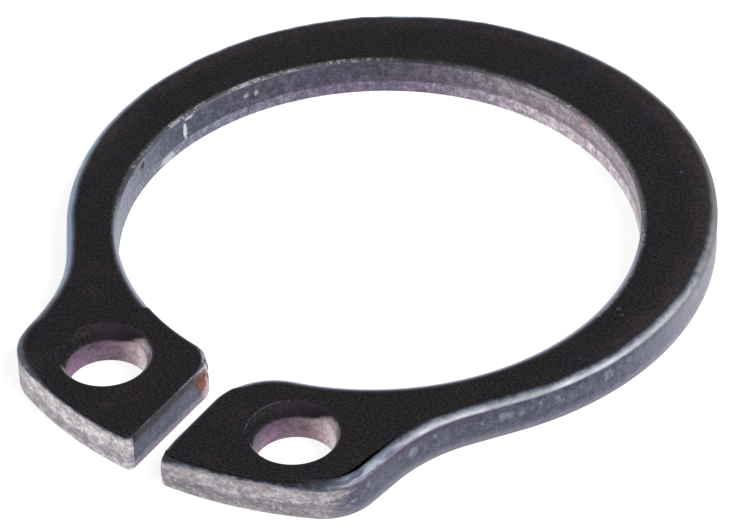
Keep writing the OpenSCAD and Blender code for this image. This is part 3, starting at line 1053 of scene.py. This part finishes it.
# The material of each part of the surface, in the order of the mesh's slots
ZONES = {"coated_face": face_material, "outer_wall": outer_wall_material, "rolled_edge": roll_material,
         "bore_wall": bore_wall_material, "gap_wall": gap_wall_material, "inner_edge": inner_edge_material,
         "hole_wall": hole_wall_material}


def zone_of(face, plan, sizes):
    """Name of the part of the surface that a face belongs to."""
    middle = face.calc_center_median()
    flat = Vector((middle.x, middle.y, 0))
    if abs(face.normal.z) > FLAT:
        return "coated_face"
    if near_hole(flat, sizes.left_mouth_width + TOUCH):
        return "hole_wall"
    if on_inner_side(flat, plan, sizes.break_width) and flat.length < plan.tip_r - sizes.tip_round:
        if middle.z > THICKNESS - sizes.break_depth:
            return "inner_edge"
        return "gap_wall" if flat.y < plan.corner_c.y + GAP_WALL_ABOVE else "bore_wall"
    rolled = middle.z > ROLL_LEVEL * THICKNESS and face.normal.z > ROLL_LEAN
    return "rolled_edge" if rolled else "outer_wall"


class RING_OT_ring(bpy.types.Operator):
    """Builds the finished ring in the place of the plain solid"""
    bl_idname = "retaining.ring"
    bl_label = "Retaining Ring"

    def execute(self, context):
        sizes = context.scene.ring_sizes
        finish = context.scene.ring_finish
        bm, plan = build_ring_mesh(sizes)
        slots = list(ZONES)
        for face in bm.faces:
            face.material_index = slots.index(zone_of(face, plan, sizes))
            face.smooth = True
        mesh = bpy.data.meshes.new("finished_ring")
        bm.to_mesh(mesh)
        bm.free()
        mesh.set_sharp_from_angle(angle=SHARP_ANGLE)
        for make in ZONES.values():
            mesh.materials.append(make(finish))
        ring = bpy.data.objects.new("finished_ring", mesh)
        context.scene.collection.objects.link(ring)
        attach(ring, "root")
        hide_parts(NODE)
        return {"FINISHED"}


def look_at(target, azimuth, elevation, roll, distance):
    """World matrix of a camera or lamp that looks at a target from a given side."""
    back = Vector((sin(azimuth) * cos(elevation), -cos(azimuth) * cos(elevation), sin(elevation)))
    right = Vector((cos(azimuth), sin(azimuth), 0))
    up = back.cross(right)
    right, up = cos(roll) * right + sin(roll) * up, cos(roll) * up - sin(roll) * right
    turn = Matrix((right, up, back)).transposed().to_4x4()
    return Matrix.Translation(target + back * distance) @ turn


def add_lamp(context, name, azimuth, elevation, distance, width, height, power):
    """A soft rectangular lamp that points at the ring."""
    lamp = bpy.data.lights.new(name, "AREA")
    lamp.shape = "RECTANGLE"
    lamp.size = width
    lamp.size_y = height
    lamp.energy = power
    holder = bpy.data.objects.new(name, lamp)
    holder.matrix_world = look_at(Vector(), radians(azimuth), radians(elevation), 0, distance)
    context.scene.collection.objects.link(holder)


def floor_material():
    """A white floor that still takes the ring's shadow."""
    material = bpy.data.materials.new("studio_floor")
    material.use_nodes = True
    material.node_tree.nodes.clear()
    shade = Shade(material.node_tree)
    rays = shade.add("ShaderNodeLightPath", {}).outputs
    seen = shade.highest(rays["Is Camera Ray"], rays["Is Glossy Ray"])
    seen = shade.highest(seen, rays["Is Transmission Ray"])
    matte = shade.add("ShaderNodeBsdfDiffuse", {"Color": (FLOOR_GREY, FLOOR_GREY, FLOOR_GREY, 1)})
    glow = shade.add("ShaderNodeEmission", {"Color": (1, 1, 1, 1), "Strength": shade.times(seen, FLOOR_GLOW)})
    both = shade.add("ShaderNodeAddShader", {0: matte.outputs[0], 1: glow.outputs[0]})
    shade.add("ShaderNodeOutputMaterial", {"Surface": both.outputs[0]})
    return material


class RING_OT_stage(bpy.types.Operator):
    """Sets up the floor, the lamps, the surroundings and the camera"""
    bl_idname = "retaining.stage"
    bl_label = "Stage"

    def execute(self, context):
        scene = context.scene
        look = scene.ring_stage
        floor_mesh = bpy.data.meshes.new("floor")
        bm = bmesh.new()
        place = Matrix.Translation((0, 0, -FLOOR_DROP))
        bmesh.ops.create_grid(bm, x_segments=1, y_segments=1, size=FLOOR_REACH, matrix=place)
        bm.to_mesh(floor_mesh)
        bm.free()
        floor = bpy.data.objects.new("floor", floor_mesh)
        floor_mesh.materials.append(floor_material())
        scene.collection.objects.link(floor)

        world = bpy.data.worlds.new("studio")
        world.use_nodes = True
        background = world.node_tree.nodes["Background"]
        background.inputs["Color"].default_value = (1, 1, 1, 1)
        background.inputs["Strength"].default_value = look.world_strength
        scene.world = world
        add_lamp(context, "key", azimuth=100, elevation=45, distance=0.2, width=0.2, height=0.12,
                 power=look.key_power)

        camera = bpy.data.cameras.new("camera")
        camera.lens = look.lens
        camera.sensor_width = SENSOR_WIDTH
        camera.clip_start, camera.clip_end = NEAREST, FARTHEST
        holder = bpy.data.objects.new("camera", camera)
        holder.matrix_world = look_at(TARGET, look.azimuth, look.elevation, look.roll, look.distance)
        scene.collection.objects.link(holder)
        scene.camera = holder
        scene.view_settings.view_transform = "Standard"
        return {"FINISHED"}


class RING_PT_panel(bpy.types.Panel):
    """Lists the steps that build the ring and its stage, with their settings"""
    bl_idname = "RING_PT_panel"
    bl_label = "Retaining Ring"
    bl_space_type = "VIEW_3D"
    bl_region_type = "UI"
    bl_category = "Retaining Ring"

    def draw(self, context):
        layout = self.layout
        for operator in (RING_OT_stage, RING_OT_ring):
            layout.operator(operator.bl_idname)
        for group in (context.scene.ring_sizes, context.scene.ring_finish, context.scene.ring_stage):
            box = layout.box()
            for name in group.bl_rna.properties.keys():
                if name not in ("rna_type", "name"):
                    box.prop(group, name)


CLASSES = (RingSizes, RingFinish, StageLook, RING_OT_ring, RING_OT_stage, RING_PT_panel)


def register():
    for cls in CLASSES:
        bpy.utils.register_class(cls)
    bpy.types.Scene.ring_sizes = PointerProperty(type=RingSizes)
    bpy.types.Scene.ring_finish = PointerProperty(type=RingFinish)
    bpy.types.Scene.ring_stage = PointerProperty(type=StageLook)


def unregister():
    del bpy.types.Scene.ring_stage
    del bpy.types.Scene.ring_finish
    del bpy.types.Scene.ring_sizes
    for cls in reversed(CLASSES):
        bpy.utils.unregister_class(cls)


def main():
    register()
    bpy.ops.retaining.stage()
    bpy.ops.retaining.ring()


if __name__ == "__main__":
    main()
